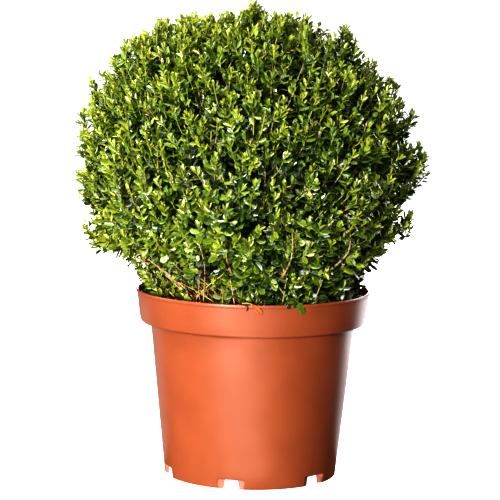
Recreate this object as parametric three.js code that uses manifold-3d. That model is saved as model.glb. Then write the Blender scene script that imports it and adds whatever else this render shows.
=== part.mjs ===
// A clipped box ball growing in its round plastic pot.
// Millimetres, +Z up. The origin is the centre of the pot's underside, at the level it stands on.
// -Y is the front, where the foot's drain notch stands a little to the left of the middle.
import * as THREE from "three";
import { mergeVertices } from "three/addons/utils/BufferGeometryUtils.js";
import Module from "manifold-3d";

// ---- pot ----------------------------------------------------------------
const SEGMENTS = 64; // round the pot and the compost
const POT_HEIGHT = 255;
const RIM_RADIUS = 160; // outside of the lip
const BAND_Z = 210; // underside of the deep collar
const BAND_RADIUS = 153.5; // outside of the collar at its lower edge
const BODY_RADIUS = 139.5; // outside of the wall just under the collar
const FOOT_RADIUS = 117.5; // outside of the wall at the ground
const WALL = 2.4;
const FLOOR_Z = 16; // the floor is raised on the foot, to the top of its notches
const FOOT_WIDTH = 4; // radial width of the foot ring
const NOTCHES = 6;
const NOTCH_AZIMUTH = -102.3; // degrees, the first notch
const FOOT_GAP = 0.3; // the foot's six arcs are pieces of their own under the floor
const NOTCH_OUTER = 43; // width at the outside of the wall
const NOTCH_INNER = 23; // width where it opens under the floor
const DRAIN_RADIUS = 6;
const DRAIN_CIRCLE = 84;

// ---- compost ------------------------------------------------------------
const GAP = 0.5; // between the compost and the pot
const COMPOST_EDGE_Z = 243;
const COMPOST_MOUND_Z = 248;

// ---- crown --------------------------------------------------------------
const CROWN_CENTRE = new THREE.Vector3(-12, 3, 425);
const CROWN_RADIUS = 222; // half the width of the ball
const CROWN_UP = 204; // centre to the clipped top
const CROWN_DOWN = 193; // centre to where the lower curve would close
const CROWN_DOWN_LEAN = 20; // the lower curve is fuller on +X than on -X
const CROWN_POWER_UP = 2.42; // above 2 the shoulder is squarer than a ball's
const CROWN_POWER_DOWN = 2.0;
const CROWN_FLOOR_Z = 257; // the flattened underside, over the compost
const CROWN_SWELL = 4.5; // low uneven waves left by the shears
const CROWN_RIPPLE = 2.6; // smaller ones
const CROWN_DETAIL = 11;
// where the ball is fuller or flatter than that, and new shoots that stand proud of it:
// azimuth and elevation in degrees, how far out in mm, and over what angle in radians
const SWELLS = [
  [180, 24, 5, 0.36],
  [0, 45, -15, 0.38],
  [180, -54, -29, 0.34],
  [180, -27, 21, 0.17],
  [0, 89, 9, 0.1],
  [0, 1, 24, 0.13],
  [-4, 20, 11, 0.1],
  [1, -22, 10, 0.1],
  [-6, 54, 12, 0.085],
  [178, -5, 5, 0.1],
  [180, 60, 3, 0.11],
  [150, 40, 6, 0.09],
  [92, 12, 4, 0.09],
  [-90, 8, 4, 0.09],
  [60, 48, 7, 0.09],
];

// ---- stems --------------------------------------------------------------
const STEM_SIDES = 6;
const STEM_STEPS = 7;
const STEM_INTO_CROWN = 12; // how far a bough is let into the mass
const STEM_CLEAR = 0.4; // gap to the mass round it
// azimuth and radius of the foot, azimuth, radius and height of the aim, radius at the foot and at the aim
const STEMS = [
  [-165, 96, -166, 182, 326, 2.8, 1.3],
  [170, 84, 172, 176, 318, 2.6, 1.2],
  [138, 78, 140, 172, 316, 2.9, 1.4],
  [100, 80, 98, 172, 318, 2.7, 1.3],
  [62, 74, 60, 172, 316, 3.0, 1.4],
  [24, 82, 26, 176, 318, 2.6, 1.2],
  [-12, 104, -14, 154, 338, 2.4, 1.3],
  [-44, 80, -46, 172, 316, 2.7, 1.3],
  [-76, 86, -74, 170, 312, 2.9, 1.4],
  [-103, 74, -102, 168, 316, 2.3, 1.4],
  [-138, 46, -158, 132, 312, 3.2, 1.5],
  [84, 38, 100, 92, 330, 3.3, 1.7],
  [8, 40, 0, 96, 330, 3.4, 1.7],
  [-66, 52, -58, 104, 326, 3.2, 1.6],
];
const TRUNK_FOOT = [-13, -34]; // X, Y of the oldest stem
const TRUNK_TIP = [-8, -6, 372];
const TRUNK_RADIUS = 7.2;
const TRUNK_TIP_RADIUS = 3.4;
const FLARE = 0.55; // extra radius at the ground, as a share
const FLARE_LENGTH = 9;

const degrees = (d) => (d * Math.PI) / 180;
const wasm = await Module();
wasm.setup();

// A closed three.js geometry as a solid that can be cut.
function solid(geometry) {
  const g = geometry.clone();
  g.deleteAttribute("normal");
  g.deleteAttribute("uv");
  const m = mergeVertices(g, 1e-3);
  const made = new wasm.Manifold(
    new wasm.Mesh({
      numProp: 3,
      vertProperties: new Float32Array(m.attributes.position.array),
      triVerts: new Uint32Array(m.index.array),
    }),
  );
  if (made.volume() <= 0) throw new Error("a solid is inside out");
  return made;
}

function geometryOf(made) {
  const m = made.getMesh();
  const position = new Float32Array(m.numVert * 3);
  for (let i = 0; i < m.numVert; i++)
    position.set(
      m.vertProperties.subarray(i * m.numProp, i * m.numProp + 3),
      i * 3,
    );
  const g = new THREE.BufferGeometry();
  g.setAttribute("position", new THREE.BufferAttribute(position, 3));
  g.setIndex(new THREE.BufferAttribute(new Uint32Array(m.triVerts), 1));
  g.computeVertexNormals();
  return g;
}

// A profile of [radius, height] turned about Z.
function turned(profile) {
  const g = new THREE.LatheGeometry(
    profile.map(([r, z]) => new THREE.Vector2(r, z)),
    SEGMENTS,
  );
  g.rotateX(Math.PI / 2);
  return g;
}

// ---- the pot ------------------------------------------------------------
const wallRadius = (z) =>
  FOOT_RADIUS + ((BODY_RADIUS - FOOT_RADIUS) * z) / BAND_Z;
const bandRadius = (z) =>
  BAND_RADIUS +
  ((RIM_RADIUS - 0.8 - BAND_RADIUS) * (z - BAND_Z)) / (POT_HEIGHT - BAND_Z);

function potGeometry() {
  const shelf = BAND_Z + WALL;
  const profile = [
    [0, FLOOR_Z],
    [wallRadius(FLOOR_Z), FLOOR_Z],
    [wallRadius(BAND_Z - 3), BAND_Z - 3],
    [wallRadius(BAND_Z) + 1.2, BAND_Z - 0.6],
    [BAND_RADIUS - 2.2, BAND_Z],
    [BAND_RADIUS, BAND_Z + 2],
    [bandRadius(POT_HEIGHT - 5), POT_HEIGHT - 5],
    [RIM_RADIUS, POT_HEIGHT - 4],
    [RIM_RADIUS, POT_HEIGHT - 1.2],
    [RIM_RADIUS - 1.1, POT_HEIGHT],
    [RIM_RADIUS - 2.4, POT_HEIGHT],
    [RIM_RADIUS - WALL - 0.8, POT_HEIGHT - 1.2],
    [bandRadius(shelf) - WALL, shelf],
    [wallRadius(shelf) - WALL, shelf],
    [wallRadius(FLOOR_Z + WALL) - WALL, FLOOR_Z + WALL],
    [0, FLOOR_Z + WALL],
  ];
  let pot = solid(turned(profile));
  for (let i = 0; i < NOTCHES; i++) {
    const drain = new THREE.CylinderGeometry(
      DRAIN_RADIUS,
      DRAIN_RADIUS,
      WALL * 4,
      12,
    );
    drain.rotateX(Math.PI / 2);
    drain.translate(DRAIN_CIRCLE, 0, FLOOR_Z + WALL / 2);
    drain.rotateZ(degrees(NOTCH_AZIMUTH + (360 / NOTCHES) * i));
    pot = pot.subtract(solid(drain));
  }
  return geometryOf(pot);
}

// The foot ring, cut by its notches into the arcs that the pot stands on.
function footGeometries() {
  const top = FLOOR_Z - FOOT_GAP;
  let ring = solid(
    turned([
      [FOOT_RADIUS - FOOT_WIDTH, 0],
      [FOOT_RADIUS, 0],
      [wallRadius(top), top],
      [FOOT_RADIUS - FOOT_WIDTH, top],
      [FOOT_RADIUS - FOOT_WIDTH, 0],
    ]),
  );
  const reach = FOOT_RADIUS + 6;
  const outlet = new THREE.Shape();
  outlet.moveTo(reach - 30, -NOTCH_INNER / 2);
  outlet.lineTo(FOOT_RADIUS - FOOT_WIDTH, -NOTCH_INNER / 2);
  outlet.lineTo(FOOT_RADIUS - 0.5, -NOTCH_OUTER / 2);
  outlet.lineTo(reach, -NOTCH_OUTER / 2 - 6);
  outlet.lineTo(reach, NOTCH_OUTER / 2 + 6);
  outlet.lineTo(FOOT_RADIUS - 0.5, NOTCH_OUTER / 2);
  outlet.lineTo(FOOT_RADIUS - FOOT_WIDTH, NOTCH_INNER / 2);
  outlet.lineTo(reach - 30, NOTCH_INNER / 2);
  outlet.closePath();
  for (let i = 0; i < NOTCHES; i++) {
    const notch = new THREE.ExtrudeGeometry(outlet, {
      depth: FLOOR_Z + 10,
      bevelEnabled: false,
    });
    notch.translate(0, 0, -5);
    notch.rotateZ(degrees(NOTCH_AZIMUTH + (360 / NOTCHES) * i));
    ring = ring.subtract(solid(notch));
  }
  // counted from the notch at the front, to its right and round
  const azimuth = (arc) => {
    const { min, max } = arc.boundingBox();
    const a = Math.atan2(min[1] + max[1], min[0] + max[0]);
    return (a - degrees(NOTCH_AZIMUTH) + 4 * Math.PI) % (2 * Math.PI);
  };
  return ring
    .decompose()
    .sort((a, b) => azimuth(a) - azimuth(b))
    .map(geometryOf);
}

// ---- the compost --------------------------------------------------------
const compostTop = (r) =>
  COMPOST_EDGE_Z +
  (COMPOST_MOUND_Z - COMPOST_EDGE_Z) *
    (1 - Math.min(1, r / (RIM_RADIUS - 8)) ** 2);

function compostGeometry() {
  const low = FLOOR_Z + WALL + GAP;
  const shelf = BAND_Z + WALL + GAP;
  const profile = [
    [0, low],
    [wallRadius(low) - WALL - GAP, low],
    [wallRadius(shelf) - WALL - GAP, shelf],
    [bandRadius(shelf) - WALL - GAP, shelf],
    [bandRadius(COMPOST_EDGE_Z) - WALL - GAP, COMPOST_EDGE_Z],
  ];
  for (const r of [125, 95, 62, 30, 0]) profile.push([r, compostTop(r)]);
  return turned(profile);
}

// ---- the crown ----------------------------------------------------------
const swells = SWELLS.map(([azimuth, elevation, far, width]) => {
  const a = degrees(azimuth);
  const e = degrees(elevation);
  return [
    new THREE.Vector3(
      Math.cos(e) * Math.cos(a),
      Math.cos(e) * Math.sin(a),
      Math.sin(e),
    ),
    far,
    width,
  ];
});

// Waves over the clipped surface, of about the same height everywhere.
function unevenness(u) {
  const { x, y, z } = u;
  const swell =
    Math.sin(5.1 * x + 2.3 * y + 0.7) * Math.cos(4.3 * z - 3.1 * y + 0.4) +
    0.7 * Math.sin(6.7 * y - 3.9 * z + 2.1) * Math.cos(5.3 * x + 1.1);
  const ripple =
    Math.sin(13.7 * x - 9.1 * z + 1.3) * Math.cos(12.1 * y + 7.3 * z + 0.2) +
    Math.sin(17.3 * y + 6.1 * x + 3.7) * Math.cos(11.9 * z - 10.3 * x + 2.9);
  return CROWN_SWELL * swell + CROWN_RIPPLE * ripple * 0.7;
}

// Distance from the crown's centre to its surface in the direction u.
function crownReach(u) {
  const flat = Math.hypot(u.x, u.y);
  const upper = u.z >= 0;
  const n = upper ? CROWN_POWER_UP : CROWN_POWER_DOWN;
  const side = flat > 1e-9 ? u.x / flat : 0;
  const tall = upper ? CROWN_UP : CROWN_DOWN + CROWN_DOWN_LEAN * side * flat;
  const plain =
    ((flat / CROWN_RADIUS) ** n + (Math.abs(u.z) / tall) ** n) ** (-1 / n);
  let reach = plain + unevenness(u);
  for (const [way, far, width] of swells) {
    const angle = Math.acos(Math.min(1, Math.max(-1, u.dot(way))));
    reach += far * Math.exp(-((angle / width) ** 2));
  }
  return reach;
}

function crownSolid() {
  const ball = new THREE.IcosahedronGeometry(1, CROWN_DETAIL);
  const at = ball.attributes.position;
  const u = new THREE.Vector3();
  for (let i = 0; i < at.count; i++) {
    u.fromBufferAttribute(at, i).normalize();
    const p = u.clone().multiplyScalar(crownReach(u)).add(CROWN_CENTRE);
    const under = CROWN_FLOOR_Z + 1.2 * Math.sin(9 * u.x + 4 * u.y);
    if (p.z < under) p.z = under - 0.02 * (under - p.z); // almost flat, and still in order
    at.setXYZ(i, p.x, p.y, p.z);
  }
  return solid(ball);
}

// How far inside the crown a point is, negative outside.
function depthInCrown(p) {
  const d = p.clone().sub(CROWN_CENTRE);
  const far = d.length();
  return Math.min(
    crownReach(d.clone().divideScalar(far)) - far,
    p.z - CROWN_FLOOR_Z,
  );
}

// ---- the stems ----------------------------------------------------------
const polar = (azimuth, r, z) =>
  new THREE.Vector3(
    r * Math.cos(degrees(azimuth)),
    r * Math.sin(degrees(azimuth)),
    z,
  );

function stemCurve([footAz, footR, aimAz, aimR, aimZ]) {
  const foot = polar(footAz, footR, compostTop(footR) + GAP);
  const aim = polar(aimAz, aimR, aimZ);
  const rise = aim.z - foot.z;
  return new THREE.CubicBezierCurve3(
    foot,
    foot.clone().add(new THREE.Vector3(0, 0, rise * 0.22)),
    foot
      .clone()
      .lerp(aim, 0.62)
      .add(new THREE.Vector3(0, 0, -rise * 0.06)),
    aim,
  );
}

// A limb of round section along a curve, from the flat cut at its foot to the share `end` of the curve.
function limbGeometry(curve, footRadius, tipRadius, end, grow = 0, over = 0) {
  const g = new THREE.CylinderGeometry(1, 1, 1, STEM_SIDES, STEM_STEPS);
  const length = curve.getLength();
  const at = g.attributes.position;
  const side = new THREE.Vector3();
  const p = new THREE.Vector3();
  for (let i = 0; i < at.count; i++) {
    p.fromBufferAttribute(at, i);
    const s = p.y + 0.5; // 0 at the foot
    const t = s * end;
    const along = curve.getPoint(t);
    const way = curve.getTangent(t);
    const level = Math.max(0, 1 - s * STEM_STEPS); // the foot's ring lies level
    way.lerp(new THREE.Vector3(0, 0, 1), level).normalize();
    side
      .subVectors(curve.getPoint(1), curve.getPoint(0))
      .setZ(0)
      .normalize();
    const across = new THREE.Vector3(-side.y, side.x, 0);
    const other = new THREE.Vector3().crossVectors(across, way).normalize();
    const flare = 1 + FLARE * Math.exp(-(t * length) / FLARE_LENGTH);
    const r = (footRadius + (tipRadius - footRadius) * t) * flare + grow;
    if (over && s > 0.999) along.addScaledVector(way, over);
    if (over && s < 0.001) along.addScaledVector(way, -over);
    at.setXYZ(
      i,
      along.x + r * (across.x * p.x + other.x * p.z),
      along.y + r * (across.y * p.x + other.y * p.z),
      along.z + r * (across.z * p.x + other.z * p.z),
    );
  }
  return g;
}

// ---- assembly -----------------------------------------------------------
const plant = new THREE.Group();
function add(name, geometry, colour, roughness) {
  const mesh = new THREE.Mesh(
    geometry,
    new THREE.MeshStandardMaterial({ color: colour, roughness, metalness: 0 }),
  );
  mesh.name = name;
  plant.add(mesh);
}

add("pot", potGeometry(), 0xd9663a, 0.42);
footGeometries().forEach((arc, i) => add("foot_" + (i + 1), arc, 0xd9663a, 0.42));
add("compost", compostGeometry(), 0x3b2a20, 0.95);

let crown = crownSolid();
const limbs = STEMS.map((row, i) => {
  const curve = stemCurve(row);
  let end = 1;
  for (let k = 1; k <= 200; k++)
    if (depthInCrown(curve.getPoint(k / 200)) > STEM_INTO_CROWN) {
      end = k / 200;
      break;
    }
  return [
    "stem_" + String(i + 1).padStart(2, "0"),
    curve,
    row[5],
    row[6],
    end,
  ];
});
const trunkFoot = new THREE.Vector3(
  ...TRUNK_FOOT,
  compostTop(Math.hypot(...TRUNK_FOOT)) + GAP,
);
const trunkTip = new THREE.Vector3(...TRUNK_TIP);
limbs.push([
  "trunk",
  new THREE.CubicBezierCurve3(
    trunkFoot,
    trunkFoot.clone().add(new THREE.Vector3(0, 0, 34)),
    trunkTip.clone().add(new THREE.Vector3(-4, -9, -48)),
    trunkTip,
  ),
  TRUNK_RADIUS,
  TRUNK_TIP_RADIUS,
  1,
]);

for (const [name, curve, footRadius, tipRadius, end] of limbs) {
  const limb = limbGeometry(curve, footRadius, tipRadius, end);
  add(name, limb, 0xa88a5c, 0.8);
  crown = crown.subtract(
    solid(
      limbGeometry(
        curve,
        footRadius,
        tipRadius,
        end,
        STEM_CLEAR,
        STEM_CLEAR,
      ),
    ),
  );
}
add("crown", geometryOf(crown), 0x5c8a26, 0.75);

export default plant;
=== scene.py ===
"""Looks of the potted box ball. Lengths are worked out in millimetres in the row frame and turned into metres
when a mesh is made."""

import math

import bpy
import numpy as np
from mathutils import Matrix, Vector, noise


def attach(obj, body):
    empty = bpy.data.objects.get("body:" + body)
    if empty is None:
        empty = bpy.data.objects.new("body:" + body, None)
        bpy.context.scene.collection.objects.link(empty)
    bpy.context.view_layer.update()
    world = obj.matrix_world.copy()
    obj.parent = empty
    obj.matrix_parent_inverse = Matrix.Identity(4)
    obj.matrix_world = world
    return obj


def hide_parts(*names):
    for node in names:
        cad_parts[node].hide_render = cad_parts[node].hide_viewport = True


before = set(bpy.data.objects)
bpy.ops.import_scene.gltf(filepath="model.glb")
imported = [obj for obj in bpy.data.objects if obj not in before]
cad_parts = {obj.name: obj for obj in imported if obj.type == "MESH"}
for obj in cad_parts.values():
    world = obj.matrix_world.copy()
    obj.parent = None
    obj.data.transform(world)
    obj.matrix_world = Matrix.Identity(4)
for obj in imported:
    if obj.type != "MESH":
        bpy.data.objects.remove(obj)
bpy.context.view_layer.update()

MM = 0.001
rng = np.random.default_rng(20260)
UP = np.array([0.0, 0.0, 1.0])


# ---- small helpers ------------------------------------------------------
def srgb(r, g, b):
    out = []
    for c in (r, g, b):
        c /= 255
        out.append(c / 12.92 if c <= 0.04045 else ((c + 0.055) / 1.055) ** 2.4)
    return (*out, 1.0)


def unit(v):
    v = np.asarray(v, float)
    return v / np.maximum(np.linalg.norm(v, axis=-1, keepdims=True), 1e-12)


def smooth(x, lo, hi):
    t = np.clip((x - lo) / (hi - lo), 0, 1)
    return t * t * (3 - 2 * t)


def plain(name, colour, roughness=0.5, coat=0.0, specular=0.5, coat_rough=0.25):
    m = bpy.data.materials.new(name)
    m.use_nodes = True
    b = m.node_tree.nodes["Principled BSDF"]
    b.inputs["Base Color"].default_value = colour
    b.inputs["Roughness"].default_value = roughness
    b.inputs["Specular IOR Level"].default_value = specular
    b.inputs["Coat Weight"].default_value = coat
    b.inputs["Coat Roughness"].default_value = coat_rough
    m.diffuse_color = colour
    return m


def mesh_object(name, verts_mm, faces, materials=(), face_material=None, shade=True):
    """faces is an (n, 3) or (n, 4) array."""
    verts = np.asarray(verts_mm, np.float32) * MM
    faces = np.asarray(faces, np.int32)
    n, k = faces.shape
    me = bpy.data.meshes.new(name)
    me.vertices.add(len(verts))
    me.vertices.foreach_set("co", verts.ravel())
    me.loops.add(n * k)
    me.loops.foreach_set("vertex_index", faces.ravel())
    me.polygons.add(n)
    me.polygons.foreach_set("loop_start", np.arange(n, dtype=np.int32) * k)
    me.polygons.foreach_set("loop_total", np.full(n, k, np.int32))
    for m in materials:
        me.materials.append(m)
    if face_material is not None:
        me.polygons.foreach_set("material_index", np.asarray(face_material, np.int32))
    me.polygons.foreach_set("use_smooth", np.full(n, bool(shade)))
    me.update(calc_edges=True)
    me.validate()
    ob = bpy.data.objects.new(name, me)
    bpy.context.scene.collection.objects.link(ob)
    return ob


def keep(ob, slot, *nodes):
    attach(ob, "root")
    if nodes:
        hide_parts(*nodes)
    return ob


def bezier(p0, p1, p2, p3, t):
    """Points and tangents, shape (n, k, 3), for n curves at k shares."""
    t = np.asarray(t)[None, :, None]
    p0, p1, p2, p3 = (np.asarray(p, float)[:, None, :] for p in (p0, p1, p2, p3))
    s = 1 - t
    at = s**3 * p0 + 3 * s * s * t * p1 + 3 * s * t * t * p2 + t**3 * p3
    way = 3 * s * s * (p1 - p0) + 6 * s * t * (p2 - p1) + 3 * t * t * (p3 - p2)
    return at, unit(way)


def tubes(at, way, radius, sides):
    """Vertices and quads of n tubes along at (n, k, 3), radius (n, k); the last ring is drawn in to close the tip."""
    n, k, _ = at.shape
    aside = np.where(np.abs(way[..., 2:3]) > 0.9, [1.0, 0.0, 0.0], UP)
    a = unit(np.cross(way, aside))
    b = np.cross(way, a)
    ang = np.arange(sides) * 2 * np.pi / sides
    ring = (
        a[:, :, None, :] * np.cos(ang)[None, None, :, None]
        + b[:, :, None, :] * np.sin(ang)[None, None, :, None]
    )
    v = at[:, :, None, :] + ring * radius[:, :, None, None]
    v = v.reshape(-1, 3)
    i = np.arange(n)[:, None, None] * k * sides
    j = np.arange(k - 1)[None, :, None] * sides
    s = np.arange(sides)[None, None, :]
    s2 = (s + 1) % sides
    q = np.stack([i + j + s, i + j + sides + s, i + j + sides + s2, i + j + s2], -1)
    return v, q.reshape(-1, 4)


# ---- the clipped ball's surface, the same shape as the CAD crown ---------
CENTRE = np.array([-12.0, 3.0, 425.0])
RADIUS, TALL_UP, TALL_DOWN, DOWN_LEAN = 222.0, 204.0, 193.0, 20.0
POWER_UP, POWER_DOWN = 2.42, 2.0
CROWN_FLOOR = 257.0
SWELLS = [
    (180, 24, 5, 0.36),
    (0, 45, -15, 0.38),
    (180, -54, -29, 0.34),
    (180, -27, 21, 0.17),
    (0, 89, 9, 0.1),
    (0, 1, 24, 0.13),
    (-4, 20, 11, 0.1),
    (1, -22, 10, 0.1),
    (-6, 54, 12, 0.085),
    (178, -5, 5, 0.1),
    (180, 60, 3, 0.11),
    (150, 40, 6, 0.09),
    (92, 12, 4, 0.09),
    (-90, 8, 4, 0.09),
    (60, 48, 7, 0.09),
]


def reach(u):
    x, y, z = u[..., 0], u[..., 1], u[..., 2]
    flat = np.hypot(x, y)
    side = x / np.maximum(flat, 1e-9)
    tall = np.where(z >= 0, TALL_UP, TALL_DOWN + DOWN_LEAN * side * flat)
    n = np.where(z >= 0, POWER_UP, POWER_DOWN)
    far = ((flat / RADIUS) ** n + (np.abs(z) / tall) ** n) ** (-1 / n)
    swell = np.sin(5.1 * x + 2.3 * y + 0.7) * np.cos(4.3 * z - 3.1 * y + 0.4)
    swell += 0.7 * np.sin(6.7 * y - 3.9 * z + 2.1) * np.cos(5.3 * x + 1.1)
    ripple = np.sin(13.7 * x - 9.1 * z + 1.3) * np.cos(12.1 * y + 7.3 * z + 0.2)
    ripple += np.sin(17.3 * y + 6.1 * x + 3.7) * np.cos(11.9 * z - 10.3 * x + 2.9)
    far = far + 4.5 * swell + 1.82 * ripple
    for azimuth, elevation, amount, width in SWELLS:
        a, e = math.radians(azimuth), math.radians(elevation)
        w = np.array([math.cos(e) * math.cos(a), math.cos(e) * math.sin(a), math.sin(e)])
        angle = np.arccos(np.clip(u @ w, -1, 1))
        far = far + amount * np.exp(-((angle / width) ** 2))
    return far


def on_ball(u, inset=0.0):
    p = CENTRE + u * (reach(u) - inset)[..., None]
    low = CROWN_FLOOR + inset * 0.5
    p[..., 2] = np.where(p[..., 2] < low, low + (p[..., 2] - low) * 0.04, p[..., 2])
    return p


def ball_normal(u):
    a = unit(np.cross(u, np.where(np.abs(u[..., 2:3]) > 0.9, [1.0, 0, 0], UP)))
    b = np.cross(u, a)
    e = 0.05
    pa = on_ball(unit(u + e * a)) - on_ball(unit(u - e * a))
    pb = on_ball(unit(u + e * b)) - on_ball(unit(u - e * b))
    n = unit(np.cross(pa, pb))
    return np.where((n * u).sum(-1, keepdims=True) < 0, -n, n)


def spread(count, jitter):
    """Directions spread evenly over the whole ball, each moved a little at random."""
    i = np.arange(count) + 0.5
    z = 1 - 2 * i / count
    a = np.pi * (1 + 5**0.5) * i
    r = np.sqrt(1 - z * z)
    u = np.stack([r * np.cos(a), r * np.sin(a), z], -1)
    step = math.sqrt(4 * math.pi / count)
    return unit(u + rng.normal(0, jitter * step, u.shape))


# ---- pot sizes, as in the CAD -------------------------------------------
POT_HEIGHT, RIM_R, BAND_Z, BAND_R, BODY_R, FOOT_R = 255.0, 160.0, 210.0, 153.5, 139.5, 117.5
WALL, FLOOR_Z, FOOT_W = 2.4, 16.6, 4.0
NOTCH_AZ, NOTCH_H = -102.3, 12.6


def wall_r(z):
    return FOOT_R + (BODY_R - FOOT_R) * z / BAND_Z


def band_r(z):
    return BAND_R + (RIM_R - 0.8 - BAND_R) * (z - BAND_Z) / (POT_HEIGHT - BAND_Z)


def compost_top(r):
    return 243 + 5 * (1 - np.minimum(1, r / 152) ** 2)


# =========================================================================
# The branching. Stems carry boughs, boughs carry twigs, twigs carry shoots, and shoots carry leaves.
# =========================================================================
STEMS = [
    (-165, 96, -166, 182, 326, 2.8, 1.3),
    (170, 84, 172, 176, 318, 2.6, 1.2),
    (138, 78, 140, 172, 316, 2.9, 1.4),
    (100, 80, 98, 172, 318, 2.7, 1.3),
    (62, 74, 60, 172, 316, 3.0, 1.4),
    (24, 82, 26, 176, 318, 2.6, 1.2),
    (-12, 104, -14, 154, 338, 2.4, 1.3),
    (-44, 80, -46, 172, 316, 2.7, 1.3),
    (-76, 86, -74, 170, 312, 2.9, 1.4),
    (-103, 74, -102, 168, 316, 2.3, 1.4),
    (-138, 46, -158, 132, 312, 3.2, 1.5),
    (84, 38, 100, 92, 330, 3.3, 1.7),
    (8, 40, 0, 96, 330, 3.4, 1.7),
    (-66, 52, -58, 104, 326, 3.2, 1.6),
]


def polar(azimuth, r, z):
    a = math.radians(azimuth)
    return np.array([r * math.cos(a), r * math.sin(a), z])


def stem_lines():
    """For every stem: its curve as in the CAD, going on inside the ball, as points and radii."""
    out = []
    t = np.linspace(0, 1, 22)
    for i, (fa, fr, aa, ar, az, r0, r1) in enumerate(STEMS):
        foot, aim = polar(fa, fr, compost_top(fr) - 2), polar(aa, ar, az)
        rise = aim[2] - foot[2]
        c1 = foot + UP * rise * 0.22
        c2 = foot + (aim - foot) * 0.62 - UP * rise * 0.06
        p, w = bezier([foot], [c1], [c2], [aim], t)
        p, w = p[0], w[0]
        if i < 10:
            end = aim + unit(w[-1] * 0.1 + UP - unit(aim * [1, 1, 0]) * 0.1) * 78
        else:
            end = aim + unit(w[-1] * 0.55 + UP) * 175
        far = np.linalg.norm(end - aim)
        q, _ = bezier([aim], [aim + w[-1] * far * 0.4], [end - UP * far * 0.3], [end], np.linspace(0, 1, 14)[1:])
        line = np.concatenate([p, q[0]])
        s = np.concatenate([np.linspace(0, 1, 22), 1 + np.linspace(0, 1, 14)[1:]])
        rad = np.where(s < 1, r0 + (r1 - r0) * s, r1 + (1.1 - r1) * np.minimum(1, 2.5 * (s - 1)))
        out.append((line, rad))
    foot = np.array([-13.0, -34.0, compost_top(36.4) - 2])
    tip = np.array([-8.0, -6.0, 372.0])
    p, _ = bezier([foot], [foot + UP * 34], [tip + [-4, -9, -48]], [tip], t)
    q, _ = bezier([tip], [tip + [4, 9, 48]], [[-22, 4, 500]], [[-26, 6, 555]], np.linspace(0, 1, 14)[1:])
    line = np.concatenate([p[0], q[0]])
    s = np.concatenate([np.linspace(0, 1, 22), 1 + np.linspace(0, 1, 14)[1:]])
    rad = np.where(s < 1, 7.2 + (3.4 - 7.2) * s, 3.4 + (1.2 - 3.4) * (s - 1))
    out.append((line, rad))
    return out


def choose_parents(targets, samples, ways, wander, steep):
    """For each target the sample that it grows from: near, and not above it."""
    best = np.zeros(len(targets), int)
    for a in range(0, len(targets), 256):
        d = targets[a : a + 256, None, :] - samples[None]
        far = np.linalg.norm(d, axis=-1)
        turn = 1 - (d * ways[None]).sum(-1) / np.maximum(far, 1e-6)
        cost = far * (1 + 0.35 * turn) + steep * np.maximum(0, 12 - d[..., 2])
        cost += np.where(far < 14, 60, 0) + rng.random(cost.shape) * wander
        best[a : a + 256] = cost.argmin(1)
    return best


def grow(targets, ends, samples, ways, radii, wander, steep, k, run=0.0):
    """Curves from the parents' samples to the targets, arriving along ends after a run of that length."""
    idx = choose_parents(targets - ends * run, samples, ways, wander, steep)
    p0, w0 = samples[idx], ways[idx]
    far = np.linalg.norm(targets - p0, axis=-1, keepdims=True)
    start = unit(unit(targets - p0) * 0.8 + w0 * 0.5)
    at, way = bezier(
        p0, p0 + start * far * 0.3, targets - ends * far * (0.5 if run else 0.38), targets, np.linspace(0, 1, k)
    )
    return at, way, radii[idx], far[:, 0]


lines = stem_lines()
s_at = np.concatenate([l[16:] for l, _ in lines])
s_way = np.concatenate([unit(np.gradient(l, axis=0))[16:] for l, _ in lines])
s_rad = np.concatenate([r[16:] for _, r in lines])

# boughs
u1 = spread(120, 0.25)
u1 = u1[u1[:, 2] > -0.93]
p1 = CENTRE + u1 * (reach(u1) * rng.uniform(0.58, 0.74, len(u1)))[:, None]
p1 = p1[p1[:, 2] > CROWN_FLOOR + 18]
e1 = unit(unit(p1 - CENTRE) + UP * 0.8 + rng.normal(0, 0.15, p1.shape))
at1, way1, rad1, _ = grow(p1, e1, s_at, s_way, s_rad, 14, 1.2, 9)
r1 = np.linspace(1, 0, 9)[None] * (np.minimum(rad1, 2.2) - 0.9)[:, None] * 0.85 + 0.9

# twigs
u2 = spread(860, 0.32)
p2 = CENTRE + u2 * (reach(u2) - rng.uniform(34, 52, len(u2)))[:, None]
ok = (p2[:, 2] > CROWN_FLOOR + 8) & ((u2[:, 2] > -0.72) | (rng.random(len(u2)) < 0.5))
u2, p2 = u2[ok], p2[ok]
n2 = ball_normal(u2)
e2 = unit(n2 * [0.6, 0.6, 0.3] + UP * 0.85 + rng.normal(0, 0.2, p2.shape))
m = slice(3, None)
at2, way2, rad2, _ = grow(
    p2, e2,
    np.concatenate([at1[:, m].reshape(-1, 3), s_at]),
    np.concatenate([way1[:, m].reshape(-1, 3), s_way]),
    np.concatenate([r1[:, m].ravel(), s_rad]), 10, 0.8, 7,
)
r2 = np.linspace(1, 0, 7)[None] * (np.minimum(rad2, 1.5) - 0.62)[:, None] * 0.8 + 0.62

# shoots: their tips make the clipped surface
def bare_side(u):
    """1 low down at the front left, where the ball is thin and shows its stems, 0 elsewhere."""
    off = np.abs((np.degrees(np.arctan2(u[:, 1], u[:, 0])) + 128 + 180) % 360 - 180)
    return smooth(-u[:, 2], 0.46, 0.66) * (1 - smooth(off, 26, 44))


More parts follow.
